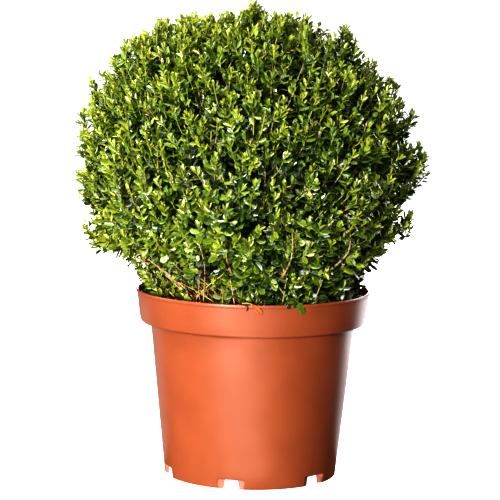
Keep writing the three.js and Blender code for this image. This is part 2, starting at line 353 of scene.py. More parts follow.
# Sprigs that stand out of the clipped outline: azimuth, elevation, and how far inside the surface they end.
SPRIGS = np.array([
    (2, 18, -5), (2, 16, 4), (1, 6, 0), (0, -1, -4), (0, 2, 5), (-2, -16, -12), (-2, -20, -14), (3, 22, 2), (10, 54, -15),
    (9, 52, -7), (8, 49, -10), (4, 31, -4), (75, 83, -13), (86, 83, -8), (64, 82, -9), (54, 81, -5), (36, 78, -2),
    (128, 81, 0), (155, 74, -2), (162, 69, -3), (18, 68, -6), (26, 74, -2), (169, 57, -1), (165, 65, -4), (173, 47, 2),
    (175, 36, -2), (176, 27, -11), (178, 14, 0), (179, 9, 0), (-179, -4, 0), (-179, -11, -4), (-177, -22, -9),
    (-176, -27, -8),
], float)
SPRIGS = np.concatenate([SPRIGS] + [SPRIGS + rng.normal(0, 1, SPRIGS.shape) * [2.4, 2.4, 1.5] + [0, 0, 3.5] for _ in range(2)])
saz, sel_ = np.radians(SPRIGS[:, 0]), np.radians(SPRIGS[:, 1])
u_sprig = np.stack([np.cos(sel_) * np.cos(saz), np.cos(sel_) * np.sin(saz), np.sin(sel_)], -1)

# The sides carry fewer than the top, because there each one shows its whole length.
u3 = spread(3700, 0.36)
side3 = 1 - smooth(ball_normal(u3)[:, 2], 0.05, 0.75)
share3 = (0.8 - 0.15 * side3) * (1 - 0.97 * bare_side(u3))
u3 = u3[((u3[:, 2] > -0.55) | (rng.random(len(u3)) < 0.4)) & (rng.random(len(u3)) < share3)]
# Leaders are this year's bright shoots. They stand in front of the older, darker ones. There are fewer of them towards
# the right, which is painted shade on that side.
lead = rng.random(len(u3)) < 0.5 - 0.08 * smooth(u3[:, 0], 0.0, 0.8)
tuft = np.array([noise.noise(Vector(u * 9.0)) for u in u3])
inset = np.where(
    lead, np.maximum(5.5 - 9.0 * tuft + rng.normal(0, 3.2, len(u3)), -2.0), 15.0 - 9.0 * tuft + rng.gamma(1.6, 4.2, len(u3))
)
proud = lead & (rng.random(len(u3)) < 0.08)
inset = np.where(proud, rng.uniform(-7, 0, len(u3)), inset)
low3 = smooth(-u3[:, 2], 0.0, 0.5)
# youth_and_light: how young each shoot is, which sets its leaves' size, spacing, angle and green. It is raised towards
# the top, the left and most of all the top left, and lowered towards the right for the shoots behind; these terms are
# painted light and shade. It is also lowered for leaders low down.
youth_and_light = np.clip(
    np.where(lead, 0.8, 0.12) + 0.08 * u3[:, 2] - np.where(lead, 0.0, 0.1) * u3[:, 0] - 0.24 * low3 * lead + 0.1 * smooth(-u3[:, 0], 0.5, 0.95)
    + 0.16 * smooth(u3 @ np.array([-0.76, -0.1, 0.64]), 0.7, 0.95)
    + 0.45 * np.array([noise.noise(Vector(u * 4.0 + 7)) for u in u3]) + rng.normal(0, 0.1, len(u3)), 0, 1,
)
u3 = np.concatenate([u3, u_sprig])
inset = np.concatenate([inset, SPRIGS[:, 2]])
# Sprigs are young. Those standing proud on the right edge are made brighter still: painted light for the light that
# catches them there.
youth_and_light = np.concatenate([youth_and_light, rng.uniform(0.8, 1.0, len(SPRIGS)) + 0.35 * (SPRIGS[:, 2] < 0) * (u_sprig[:, 0] > 0.6)])
p3 = on_ball(u3, inset)
n3 = ball_normal(u3)
lean = np.clip(0.52 + 0.25 * smooth(-u3[:, 2], 0.2, 0.7) + rng.normal(0, 0.12, len(u3)), 0.1, 1.1)
e3 = unit(n3 * [1, 1, 0.25] * lean[:, None] + UP + rng.normal(0, 0.2, p3.shape))
m = slice(3, None)
at3, way3, rad3, far3 = grow(
    p3, e3, at2[:, m].reshape(-1, 3), way2[:, m].reshape(-1, 3), r2[:, m].ravel(), 9, 0.35, 4, run=44.0
)
r3 = np.linspace(1, 0, 4)[None] * 0.5 + 0.62
r3 = np.repeat(r3, len(at3), 0)

# Shoots from the foot of the plant to the lower edge of the ball. Those at the front left stay bare for most of their length.
def basal(az, r, end_az, end_el, inset, thick):
    n = len(az)
    foot = np.stack([r * np.cos(az), r * np.sin(az), compost_top(r) - 1], -1)
    u = np.stack([np.cos(end_el) * np.cos(end_az), np.cos(end_el) * np.sin(end_az), np.sin(end_el)], -1)
    tip = on_ball(u, inset)
    end = unit(ball_normal(u) * [0.8, 0.8, 0.2] + UP * 0.9 + rng.normal(0, 0.15, tip.shape))
    far = np.linalg.norm(tip - foot, axis=1)
    ctrl = (
        foot,
        foot + unit(unit(tip - foot) + UP * 0.35 + rng.normal(0, 0.16, tip.shape)) * far[:, None] * 0.32,
        tip - end * far[:, None] * 0.3 + rng.normal(0, 3.0, tip.shape),
        tip,
    )
    at, way = bezier(*ctrl, np.linspace(0, 1, 9))
    rad = 0.7 + np.linspace(1, 0, 9)[None] * (thick - 0.7)[:, None]
    return u, ctrl, at, way, rad, far


nb = 190
ab = np.radians(rng.uniform(-92, 192, nb))
rb = rng.uniform(44, 138, nb)
ub, cb, atb, wayb, rb_, farb = basal(
    ab, rb, ab + rng.normal(0, 0.2, nb), np.radians(-60 + (rb - 44) * 0.34 + rng.normal(0, 6, nb)),
    rng.uniform(4, 24, nb), rng.uniform(0.9, 1.6, nb),
)
# Short leafy sprouts round the foot, fewest at the front left.
ns = 260
as_ = np.radians(rng.uniform(-180, 180, ns))
as_ = as_[(np.abs((np.degrees(as_) + 140 + 180) % 360 - 180) > 50) | (rng.random(ns) < 0.06)]
ns = len(as_)
rs = rng.uniform(96, 141, ns)
foot_s = np.stack([rs * np.cos(as_), rs * np.sin(as_), compost_top(rs) - 1], -1)
out_s = foot_s * [1, 1, 0] / rs[:, None]
way_s = unit(out_s * rng.uniform(-0.5, 0.35, (ns, 1)) + UP + rng.normal(0, 0.3, (ns, 3)))
fars = rng.uniform(22, 62, ns)
tip_s = foot_s + way_s * fars[:, None]
tip_s *= np.array([1.0, 1.0, 0.0]) * np.minimum(1, 147 / np.hypot(tip_s[:, 0], tip_s[:, 1]))[:, None] + [0, 0, 1]
cs = (foot_s, foot_s + (UP * 0.8 + out_s * 0.2) * fars[:, None] * 0.3, tip_s - way_s * fars[:, None] * 0.3, tip_s)
ats, ways = bezier(*cs, np.linspace(0, 1, 6))
rs_ = np.linspace(1, 0.62, 6)[None] * rng.uniform(0.9, 1.2, (ns, 1))
us = unit(out_s - UP * 0.6)

nf = 38
af = np.radians(rng.uniform(-180, -98, nf))
rf = rng.uniform(46, 138, nf)
uf, cf, atf, wayf, rf_, farf = basal(
    af, rf, np.clip(af * 0.75 + math.radians(-140) * 0.25 + rng.normal(0, 0.34, nf), math.radians(-184), math.radians(-92)),
    np.radians(rng.uniform(-46, -20, nf)), rng.uniform(2, 18, nf), rng.uniform(0.5, 0.95, nf),
)
bend = rng.normal(0, 1, (nf, 3)) * [14, 14, 6]
cf = (cf[0], cf[1] + bend * 0.6, cf[2] - bend, cf[3])
atf, wayf = bezier(*cf, np.linspace(0, 1, 9))
# The bare stems seen at the front left, each as its points, its radius and its colour.
FRONT = [
    ([(-98, -49, 247), (-115, -49, 256), (-123, -48, 272), (-145, -47, 294), (-168, -48, 307), (-185, -48, 329)], 1.15, 5),
    ([(-102, -31, 247), (-102, -68, 268), (-100, -105, 289)], 0.75, 5),
    ([(-56, 1, 247), (-71, -48, 266), (-79, -92, 286), (-90, -151, 312)], 0.65, 6),
    ([(-34, -49, 249), (-48, -18, 252), (-60, 12, 251), (-82, 46, 249)], 0.6, 6),
    ([(-21, 6, 247), (-33, -56, 271), (-35, -121, 301), (-40, -162, 318)], 0.95, 3),
    ([(-145, -48, 294), (-166, -50, 303), (-177, -50, 319)], 0.8, 5),
    ([(-145, -48, 294), (-161, -52, 304), (-169, -54, 322)], 0.7, 5),
    ([(-114, -6, 247), (-124, -3, 270), (-151, -1, 293)], 0.95, 5),
    ([(-36, -40, 247), (-58, -71, 262), (-66, -88, 274), (-85, -123, 291)], 0.7, 6),
    ([(-36, -45, 249), (-45, -8, 252), (-61, 19, 251), (-86, 59, 249)], 0.65, 2),
    ([(-19, -22, 247), (-27, -79, 271), (-35, -142, 296)], 0.95, 3),
    ([(-92, -70, 248), (-104, -44, 251), (-116, -1, 249)], 1.0, 6),
    ([(-58, 1, 247), (-56, -47, 262), (-53, -128, 287)], 0.7, 5),
    ([(-123, -48, 272), (-134, -50, 276), (-146, -52, 284)], 0.6, 5),
    ([(-115, -49, 256), (-128, -49, 266), (-146, -50, 282)], 0.65, 6),
    ([(-17, -56, 247), (-18, -87, 259), (-16, -121, 272)], 1.8, 3),
]


def through(points, k):
    """A smooth curve through the points (Catmull-Rom), k samples."""
    q = np.array(points, float)
    q = np.concatenate([[2 * q[0] - q[1]], q, [2 * q[-1] - q[-2]]])
    n = len(points) - 1
    out = []
    for t in np.linspace(0, n, k):
        i = min(int(t), n - 1)
        f = t - i
        a, b, c, d = q[i:i + 4]
        out.append(0.5 * (2 * b + (c - a) * f + (2 * a - 5 * b + 4 * c - d) * f**2 + (3 * b - a - 3 * c + d) * f**3))
    return np.array(out)


atq = np.array([through(p, 13) for p, _, _ in FRONT])
atq[:, 1:-1] += rng.normal(0, 0.9, atq[:, 1:-1].shape)
wayq = unit(np.gradient(atq, axis=1))
radq = np.linspace(1.08, 0.78, 13)[None] * np.array([r for _, r, _ in FRONT])[:, None]
farq = np.linalg.norm(np.diff(atq, axis=1), axis=-1).sum(1)

# Small-leaved side shoots low down among them.
nt_ = 84
edge_t = rng.random(nt_) < 0.56
at_ = np.radians(np.where(edge_t, rng.uniform(-186, -152, nt_), rng.uniform(-158, -100, nt_)))
rt = np.where(edge_t, rng.uniform(112, 143, nt_), rng.uniform(40, 112, nt_))
foot_t = np.stack([rt * np.cos(at_), rt * np.sin(at_), compost_top(rt) - 1], -1)
out_t = foot_t * [1, 1, 0] / rt[:, None]
way_t = unit(out_t * np.where(edge_t, rng.uniform(0.0, 0.8, nt_), rng.uniform(-0.1, 0.6, nt_))[:, None] + UP + rng.normal(0, 0.3, (nt_, 3)))
fart = np.where(edge_t, rng.uniform(20, 66, nt_), rng.uniform(28, 58, nt_))
tip_t = foot_t + way_t * fart[:, None]
# none of them lies out over the rim
cap = np.minimum(1, (144 + 0.55 * (tip_t[:, 2] - 256)) / np.hypot(tip_t[:, 0], tip_t[:, 1]))
tip_t[:, :2] *= cap[:, None]
way_t = unit(way_t + UP * (1 - cap)[:, None] * 6)
ct = (foot_t, foot_t + (UP + rng.normal(0, 0.3, (nt_, 3))) * fart[:, None] * 0.3, tip_t - way_t * fart[:, None] * 0.3, tip_t)
att, wayt = bezier(*ct, np.linspace(0, 1, 6))
rt_ = np.linspace(1, 0.7, 6)[None] * rng.uniform(0.5, 0.75, (nt_, 1))
ut = unit(out_t - UP * 0.6)

print("branching:", len(lines), "stems", len(at1), "boughs", len(at2), "twigs", len(at3), "shoots",
      "shoot length", far3.mean().round(1))

# ---- wood ---------------------------------------------------------------
WOOD = [
    plain("twig_green", srgb(140, 148, 62), 0.45),
    plain("twig_olive", srgb(162, 154, 86), 0.5),
    plain("twig_tan", srgb(150, 136, 84), 0.55),
    plain("twig_fawn", srgb(122, 98, 66), 0.65),
    plain("twig_grey", srgb(90, 72, 54), 0.7),
    plain("twig_straw", srgb(184, 162, 96), 0.5),
    plain("twig_pale", srgb(188, 154, 112), 0.55),
]


def wood_piece(name, groups):
    vs, qs, ms, base = [], [], [], 0
    for at, way, rad, sides, tint in groups:
        v, q = tubes(at, way, rad, sides)
        per = (at.shape[1] - 1) * sides
        vs.append(v)
        qs.append(q + base)
        ms.append(np.repeat(tint, per))
        base += len(v)
    return keep(mesh_object(name, np.concatenate(vs), np.concatenate(qs), WOOD, np.concatenate(ms)), "bark")


bough_tint = rng.choice([2, 3, 4], len(at1), p=[0.2, 0.4, 0.4])
twig_tint = rng.choice([1, 2, 3, 4], len(at2), p=[0.2, 0.3, 0.3, 0.2])
shoot_tint = np.where(rng.random(len(at3)) < 0.45 + 0.45 * youth_and_light, 0, rng.choice([1, 2], len(at3), p=[0.65, 0.35]))
wood_piece("boughs_and_twigs", [(at1, way1, r1, 6, bough_tint), (at2, way2, r2, 5, twig_tint)])
wood_piece("shoots", [
    (at3, way3, r3, 4, shoot_tint),
    (atb, wayb, rb_, 6, rng.choice([0, 1, 2, 3], nb, p=[0.25, 0.35, 0.25, 0.15])),
    (ats, ways, rs_, 5, rng.choice([0, 1, 2], ns, p=[0.5, 0.3, 0.2])),
    (atf, wayf, rf_, 6, rng.choice([5, 6, 3], nf, p=[0.4, 0.42, 0.18])),
    (att, wayt, rt_, 4, rng.choice([0, 1, 2], nt_, p=[0.4, 0.3, 0.3])),
    (atq, wayq, radq, 6, np.array([c for _, _, c in FRONT])),
])

# ---- leaves -------------------------------------------------------------
# Greens from old and dark to young and bright, then clipped and dead bits.
GREENS = [
    (24, 40, 8), (44, 64, 12), (62, 86, 18), (81, 106, 26), (102, 124, 34),
    (120, 138, 38), (134, 148, 41), (144, 154, 45), (152, 159, 51), (160, 165, 64),
]
LEAF = [plain(f"leaf_{i}", srgb(*c), 0.46, coat=0.85, specular=0.8, coat_rough=0.34) for i, c in enumerate(GREENS)]
LEAF += [
    plain("leaf_yellow", srgb(214, 200, 96), 0.5),
    plain("leaf_tan", srgb(204, 166, 118), 0.6),
    plain("leaf_cream", srgb(224, 196, 164), 0.6),
    plain("leaf_rust", srgb(178, 136, 102), 0.6),
    plain("leaf_under", srgb(144, 158, 98), 0.5),
]
TOP = len(GREENS) - 1

# Half a leaf: three points of the midrib, a row inside the rim, and the rim's edge. x along the leaf, y out from the midrib, both for length 1 and half width 1.
FULL_X = np.array([0.0, 0.52, 1.0, 0.27, 0.72, 0.13, 0.43, 0.8])
FULL_Y = np.array([0.0, 0.0, 0.0, 0.66, 0.66, 0.56, 1.0, 0.82])
FULL_T = np.array([[0, 3, 1], [3, 4, 1], [4, 2, 1], [0, 5, 3], [5, 6, 3], [6, 4, 3], [6, 7, 4], [7, 2, 4]])
SMALL_X = np.array([0.0, 0.52, 1.0, 0.26, 0.72])
SMALL_Y = np.array([0.0, 0.0, 0.0, 0.92, 0.86])
SMALL_T = np.array([[0, 3, 1], [3, 4, 1], [4, 2, 1]])
# How many steps brighter each triangle of half a leaf is: the rim is paler than the blade, partly the leaf's own paler
# margin and partly a painted highlight along the edge.
FULL_STEP = np.array([0, 0, 0, 2, 2, 2, 2, 2])
SMALL_STEP = np.array([0, 0, 0])


def leaves(kind, base, along, normal, length, half, fold, turn, curl, cut):
    """Vertices and triangles of many leaves. The halves don't share the midrib, so it stays a crisp line."""
    x, y, t = (FULL_X, FULL_Y, FULL_T) if kind == "full" else (SMALL_X, SMALL_Y, SMALL_T)
    k = len(x)
    xs = np.minimum(x[None], cut[:, None])
    side = np.cross(normal, along)
    drop = -curl[:, None] * xs**2
    lift = fold[:, None] * y[None] - turn[:, None] * y[None] ** 2
    parts = []
    for s in (1.0, -1.0):
        parts.append(
            base[:, None, :]
            + along[:, None, :] * (xs * length[:, None])[..., None]
            + side[:, None, :] * (s * y[None] * half[:, None])[..., None]
            + normal[:, None, :] * (drop * length[:, None] + lift * half[:, None])[..., None]
        )
    tri = np.concatenate([t[:, ::-1], t + k])
    step = FULL_STEP if kind == "full" else SMALL_STEP
    step = np.concatenate([step, step])
    if kind == "full":
        # the midrib: one long thin triangle on top of the fold
        mx = np.minimum(np.array([0.0, 0.0, 0.93])[None], cut[:, None])
        my = np.array([0.13, -0.13, 0.0])
        up = fold[:, None] * np.abs(my)[None] + 0.02
        parts.append(
            base[:, None, :]
            + along[:, None, :] * (mx * length[:, None])[..., None]
            + side[:, None, :] * (my[None] * half[:, None])[..., None]
            + normal[:, None, :] * ((-curl[:, None] * mx**2) * length[:, None] + up * half[:, None])[..., None]
        )
        tri = np.concatenate([tri, [[2 * k, 2 * k + 2, 2 * k + 1]]])
        step = np.append(step, 3)
    v = np.concatenate(parts, 1)
    tri = (np.arange(len(base))[:, None, None] * v.shape[1] + tri[None]).reshape(-1, 3)
    return v.reshape(-1, 3), tri, step


S_NODE = np.array([0.4, 2.6, 5.6, 9.2, 13.4, 18.2, 23.6, 29.6, 36.4, 44.0, 52.5, 61.5, 71.0, 81.0])
L_NODE = np.array([7.6, 10.4, 12.2, 13.0, 13.5, 13.9, 14.2, 14.4, 14.4, 14.2, 13.8, 13.4, 13.0, 12.6])
A_NODE = np.array([17, 31, 41, 46, 49, 51, 52, 54, 56, 60, 64, 66, 68, 70])
V_NODE = np.array([0.84, 0.77, 0.65, 0.5, 0.37, 0.27, 0.19, 0.14, 0.12, 0.1, 0.1, 0.1, 0.1, 0.1])


def shoot_leaves(at_ctrl, youth_and_light, far, u, bare=5.0, scale=1.0):
    """Opposite pairs, each pair turned a quarter from the last, down every shoot."""
    n = len(far)
    spin = rng.uniform(0, np.pi, n)
    out = {k: [] for k in ("base", "along", "normal", "length", "half", "fold", "turn", "curl", "cut", "tint", "node", "rim")}
    pitch = 1.5 - 0.65 * youth_and_light + rng.normal(0, 0.08, n)
    low = smooth(-u[:, 2], 0.1, 0.5)
    size = scale * (1.06 - 0.14 * youth_and_light + 0.04 * low) * rng.normal(1, 0.09, n)
    # Per-shoot tone: some varies at random, and a few shoots are darker at random. Shoots are lighter low down (painted
    # light) and darker in the centre and on the right, less so at the top (painted shade).
    shade = rng.normal(0, 0.07, n) - 0.16 * (rng.random(n) < 0.14) + 0.04 * low
    shade -= 0.065 * smooth(u[:, 0], -0.35, 0.25) * (1 - 0.6 * smooth(u[:, 2], 0.5, 0.9))
    clipped = rng.random(n) < 0.12
    star = rng.normal(1.04, 0.12, n) + 0.22 * smooth(u[:, 2], 0.45, 0.9)
    for j in range(len(S_NODE)):
        back = S_NODE[j] * pitch + rng.normal(0, 0.5, n)
        live = (back < far - bare) & ~(clipped & (j < 2))
        if j > 4:
            live &= rng.random(n) < 0.86
        if not live.any():
            continue
        i = np.nonzero(live)[0]
        youth_light = np.minimum(youth_and_light[i], 1.0)
        t = np.clip(1 - back[i] / far[i], 0, 1)
        p0, p1_, p2_, p3_ = (c[i] for c in at_ctrl)
        s = (1 - t)[:, None]
        tt = t[:, None]
        pos = s**3 * p0 + 3 * s * s * tt * p1_ + 3 * s * tt * tt * p2_ + tt**3 * p3_
        way = unit(3 * s * s * (p1_ - p0) + 6 * s * tt * (p2_ - p1_) + 3 * tt * tt * (p3_ - p2_))
        ref = unit(np.cross(way, np.where(np.abs(way[:, 2:3]) > 0.9, [1.0, 0, 0], UP)))
        ref2 = np.cross(way, ref)
        for h in (0, 1):
            a = spin[i] + j * np.pi / 2 + h * np.pi + rng.normal(0, 0.22, len(i))
            radial = ref * np.cos(a)[:, None] + ref2 * np.sin(a)[:, None]
            open_ = np.radians(A_NODE[j] * star[i] * (1.08 - 0.3 * youth_light) + rng.normal(0, 9, len(i)))
            along = way * np.cos(open_)[:, None] + radial * np.sin(open_)[:, None]
            normal = way * np.sin(open_)[:, None] - radial * np.cos(open_)[:, None]
            # the blades turn a little to the light
            light = unit(u[i] * 0.8 + UP * 0.5)
            normal = unit(normal + light * (0.26 - 0.12 * youth_light)[:, None] + rng.normal(0, 0.3, normal.shape))
            along = unit(along - normal * (along * normal).sum(-1, keepdims=True))
            length = L_NODE[j] * size[i] * rng.normal(1, 0.09, len(i))
            wide = 0.185 + 0.09 * (1 - youth_light) + 0.03 * low[i] - (0.04 if j == 0 else 0.015 if j == 1 else 0)
            cut = np.ones(len(i))
            hit = (clipped[i] & (j < 4) & (rng.random(len(i)) < 0.5)) | ((j < 3) & (rng.random(len(i)) < 0.05))
            cut[hit] = rng.uniform(0.45, 0.75, hit.sum())
            v = V_NODE[j] * (0.56 + 0.5 * youth_and_light[i]) + shade[i] + rng.normal(0, 1, len(i)) * (0.085 + 0.05 * low[i])
            tint = np.clip(np.rint(v * TOP), 0, TOP).astype(int)
            odd = rng.random(len(i))
            tint = np.where(hit & (odd < 0.14), TOP + 2, tint)
            tint = np.where(odd > 0.992, TOP + 1, tint)
            tint = np.where((odd > 0.986) & (odd <= 0.992), TOP + 3, tint)
            tint = np.where((odd > 0.983) & (odd <= 0.986), TOP + 4, tint)
            length = np.where(tint > TOP, length * 0.66, length)
            tint = np.where((odd < 0.05) & (tint <= 4), TOP + 5, tint)
            for key, val in (
                ("base", pos + radial * 0.5), ("along", along), ("normal", normal), ("length", length),
                ("half", length * wide * rng.normal(1, 0.08, len(i))),
                ("fold", rng.uniform(0.15, 0.75, len(i)) + 0.2 * (j < 2)),
                ("turn", rng.uniform(0.2, 0.8, len(i)) * (1 if j > 1 else 0.3)),
                ("curl", rng.uniform(0.0, 0.2, len(i)) * (1 if j > 1 else -0.3)),
                # rim: 1 for leaves low down, whose rim and midrib are painted one step paler as a highlight
                ("cut", cut), ("tint", tint), ("node", np.full(len(i), j)), ("rim", (low[i] > 0.25).astype(int)),
            ):
                out[key].append(val)
    return {k: np.concatenate(v) for k, v in out.items()}


def controls(at, way, far):
    """Bezier control points again from the ends of a sampled curve."""
    p0, p3_ = at[:, 0], at[:, -1]
    f = far[:, None]
    return p0, p0 + way[:, 0] * f * 0.3, p3_ - way[:, -1] * f * 0.5, p3_


far3 = np.maximum(far3, 12)
crop = shoot_leaves(controls(at3, way3, far3), youth_and_light, far3, u3)
# older leaves on the twigs behind, all given the two darkest greens: partly their own darker green, partly painted
# shade of the ball's inside
far2 = np.linalg.norm(np.diff(at2, axis=1), axis=-1).sum(1)
inner = shoot_leaves(controls(at2, way2, far2), np.zeros(len(at2)), far2, u2)
inner["tint"] = rng.choice(2, len(inner["tint"]), p=[0.75, 0.25])
low = shoot_leaves(cb, np.clip(rng.normal(0.16, 0.14, nb), 0, 1), farb, ub)
sprout = shoot_leaves(cs, np.clip(rng.normal(0.22, 0.16, ns), 0, 1), fars, us, bare=2.0)
fan = shoot_leaves(cf, np.clip(rng.normal(0.55, 0.16, nf), 0, 1), farf, uf, bare=farf * 0.48, scale=0.76)
tiny = shoot_leaves(ct, np.clip(rng.normal(0.55, 0.2, nt_), 0, 1), fart, ut, bare=np.where(edge_t, 3.0, fart * 0.5), scale=0.62)
front = shoot_leaves(controls(atq, wayq, farq), np.full(len(farq), 0.5), farq, unit(atq[:, -1] - CENTRE), bare=farq * 0.5, scale=0.7)
crop = {k: np.concatenate([crop[k], low[k], sprout[k], fan[k], tiny[k], front[k]]) for k in crop}
crop["kind"] = np.where((crop["node"] < 1) | (crop["node"] > 8), 0, 1)
inner["kind"] = np.zeros(len(inner["node"]), int)
crop = {k: np.concatenate([crop[k], inner[k]]) for k in crop}
a = np.arctan2(crop["base"][:, 1] - CENTRE[1], crop["base"][:, 0] - CENTRE[0])
tris = np.where(crop["kind"] == 1, 17, 6)
total = int(tris.sum())
pieces = int(np.ceil(total / 170000))
order = np.argsort(a)
share = np.cumsum(tris[order]) / total
for n in range(pieces):
    sel = order[(share > n / pieces) & (share <= (n + 1) / pieces)] if n else order[share <= 1 / pieces]
    vs, ts, ms, base = [], [], [], 0
    for kind, name in ((1, "full"), (0, "small")):
        g = sel[crop["kind"][sel] == kind]
        v, t, step = leaves(
            name, crop["base"][g], crop["along"][g], crop["normal"][g], crop["length"][g], crop["half"][g],
            crop["fold"][g], crop["turn"][g], crop["curl"][g], crop["cut"][g],
        )
        vs.append(v)
        ts.append(t + base)
        tint = crop["tint"][g][:, None]
        # Leaves low down (rim) get their rim and midrib one step paler again: a painted highlight.
        step = np.where(tint <= 1, np.minimum(step[None], 1), step[None]) + crop["rim"][g][:, None] * (step[None] > 0)
        ms.append(np.where(tint <= TOP, np.minimum(tint + step, TOP), tint).ravel())
        base += len(v)
    ob = keep(mesh_object(f"leaves_{n + 1}", np.concatenate(vs), np.concatenate(ts), LEAF, np.concatenate(ms)), "foliage")
    if n == 0:
        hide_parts("crown")
print("leaves:", len(tris), "triangles:", total, "pieces:", pieces)

# =========================================================================
# Stems with bark relief
# =========================================================================
def bark_material():
    m = bpy.data.materials.new("bark")
    m.use_nodes = True
    nt = m.node_tree
    b = nt.nodes["Principled BSDF"]
    co = nt.nodes.new("ShaderNodeTexCoord")
    n1 = nt.nodes.new("ShaderNodeTexNoise")
    n1.inputs["Scale"].default_value = 160
    n1.inputs["Detail"].default_value = 6
    r = nt.nodes.new("ShaderNodeValToRGB")
    e = r.color_ramp.elements
    e[0].position, e[0].color = 0.3, srgb(118, 88, 52)
    e[1].position, e[1].color = 0.72, srgb(224, 194, 136)
    mid = r.color_ramp.elements.new(0.5)
    mid.color = srgb(188, 152, 98)
    nt.links.new(co.outputs["Object"], n1.inputs["Vector"])
    nt.links.new(n1.outputs["Fac"], r.inputs["Fac"])
    # painted shade: the stems of the right side are made duller and greyer
    xyz = nt.nodes.new("ShaderNodeSeparateXYZ")
    side = nt.nodes.new("ShaderNodeMapRange")
    side.inputs["From Min"].default_value, side.inputs["From Max"].default_value = -0.02, 0.06
    mix = nt.nodes.new("ShaderNodeMix")
    mix.data_type, mix.blend_type = "RGBA", "MULTIPLY"
    mix.inputs["B"].default_value = (0.5, 0.58, 0.85, 1)
    nt.links.new(co.outputs["Object"], xyz.inputs["Vector"])
    nt.links.new(xyz.outputs["X"], side.inputs["Value"])
    nt.links.new(side.outputs["Result"], mix.inputs["Factor"])
    nt.links.new(r.outputs["Color"], mix.inputs["A"])
    nt.links.new(mix.outputs["Result"], b.inputs["Base Color"])
    b.inputs["Roughness"].default_value = 0.72
    return m


BARK = bark_material()


def bark_mesh(name, group, nodes):
    vs, qs, base = [], [], 0
    for (line, rad), flare in group:
        seg = np.linalg.norm(np.diff(line, axis=0), axis=1)
        s = np.concatenate([[0], np.cumsum(seg)])
        k = max(24, int(s[-1] / 2.6))
        g = np.linspace(0, s[-1], k)
        p = np.stack([np.interp(g, s, line[:, c]) for c in range(3)], -1)
        r = np.interp(g, s, rad)
        w = unit(np.gradient(p, axis=0))
        r = r * (1 + flare * np.exp(-g / 9.0))
        sides = 12
        v, q = tubes(p[None], w[None], r[None], sides)
        v = v.reshape(k, sides, 3)
        mid = p[:, None, :]
        out = v - mid
        ang = np.arange(sides) * 2 * np.pi / sides
        seed = rng.uniform(0, 100)
        bump = np.array([
            [
                noise.noise(Vector((math.cos(aa) * 1.3 + seed, math.sin(aa) * 1.3, gg * 0.12)))
                + 0.6 * noise.noise(Vector((math.cos(aa) * 2.6, math.sin(aa) * 2.6 + seed, gg * 0.035)))
                for aa in ang
            ]
            for gg in g
        ])
        # leaf scars: low rings, every 9 mm or so
        ring = np.exp(-(((g % 9.3) - 4.6) ** 2) / 1.2)[:, None] * (0.5 + 0.5 * np.cos(2 * (ang[None] + np.floor(g / 9.3)[:, None] * np.pi / 2)))
        v = mid + out * (1 + 0.2 * bump + 0.1 * ring)[..., None]
        vs.append(v.reshape(-1, 3))
        qs.append(q + base)
        base += k * sides
    ob = mesh_object(name, np.concatenate(vs), np.concatenate(qs), [BARK])
    return keep(ob, "bark", *nodes)


bark_mesh("trunk_bark", [(lines[-1], 0.55)], ["trunk"])
bark_mesh("stems_bark", [(l, 0.55) for l in lines[:-1]], [f"stem_{i + 1:02d}" for i in range(len(STEMS))])


# =========================================================================
# Pot
# =========================================================================
def arc(cx, cz, r, a0, a1, n):
    return [(cx + r * math.cos(math.radians(a)), cz + r * math.sin(math.radians(a))) for a in np.linspace(a0, a1, n)]


def lathe(name, profile, sides, closed=False):
    p = np.array(profile)
    a = np.arange(sides) * 2 * np.pi / sides
    v = np.stack([
        p[:, None, 0] * np.cos(a)[None], p[:, None, 0] * np.sin(a)[None], np.repeat(p[:, 1:2], sides, 1)
    ], -1)
    k = len(p)
    rows = np.arange(k if closed else k - 1)[:, None] * sides
    nxt = ((np.arange(k if closed else k - 1) + 1) % k)[:, None] * sides
    s = np.arange(sides)[None]
    s2 = (s + 1) % sides
    q = np.stack([rows + s, rows + s2, nxt + s2, nxt + s], -1).reshape(-1, 4)
    return v.reshape(-1, 3), q


